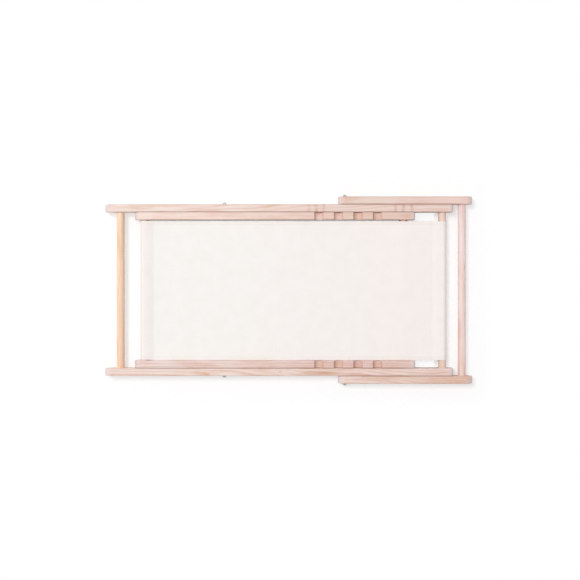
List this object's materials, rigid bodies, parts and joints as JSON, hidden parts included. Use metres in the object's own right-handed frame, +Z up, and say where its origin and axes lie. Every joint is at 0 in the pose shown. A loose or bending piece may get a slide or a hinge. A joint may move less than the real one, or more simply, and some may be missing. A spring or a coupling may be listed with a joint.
{
  "type": "folding sling deck chair",
  "caption": "Folding sling deck chair of pivoted pine frames, with notched rails that set the recline and a canvas sling, lying folded flat.",
  "frame": {"origin": "centre of the folded chair's outline, on the floor that it lies on", "axes": "+X towards the head end, +Y to the chair's left side, +Z up from the floor"},
  "size_m": [1.1814, 0.6152, 0.044],
  "materials": {
    "rail_pine": "raw, planed and sanded",
    "bar_pine": "raw, turned and sanded",
    "zinc_steel": "bright zinc plate",
    "canvas": "plain-weave cotton canvas"
  },
  "bodies": {
    "seat_frame": {"seat_rail_left": "rail_pine", "seat_rail_right": "rail_pine", "front_bar": "bar_pine", "rear_stretcher": "bar_pine", "seat_frame_screws": "zinc_steel", "main_bolt_left": "zinc_steel", "main_bolt_right": "zinc_steel", "main_spacer_washers": "zinc_steel", "main_outer_washers": "zinc_steel", "main_cap_nut_left": "zinc_steel", "main_cap_nut_right": "zinc_steel", "sling_seat": "canvas"},
    "back_frame": {"back_rail_left": "rail_pine", "back_rail_right": "rail_pine", "foot_stretcher": "bar_pine", "head_bar": "bar_pine", "back_frame_screws": "zinc_steel", "prop_bolt_left": "zinc_steel", "prop_bolt_right": "zinc_steel", "prop_spacer_washers": "zinc_steel", "prop_outer_washers": "zinc_steel", "prop_cap_nut_left": "zinc_steel", "prop_cap_nut_right": "zinc_steel", "sling_back": "canvas"},
    "prop_frame": {"prop_rail_left": "rail_pine", "prop_rail_right": "rail_pine", "prop_bar": "bar_pine", "prop_frame_screws": "zinc_steel"}
  },
  "joints": [
    {"name": "back_fold", "type": "hinge", "parent": "seat_frame", "child": "back_frame", "pos_m": [-0.20725, 0, 0.022], "axis": [0, -1, 0], "range_deg": [0, 68.2]},
    {"name": "prop_swing", "type": "hinge", "parent": "back_frame", "child": "prop_frame", "pos_m": [0.18075, 0, 0.022], "axis": [0, 1, 0], "range_deg": [0, 133]}
  ]
}
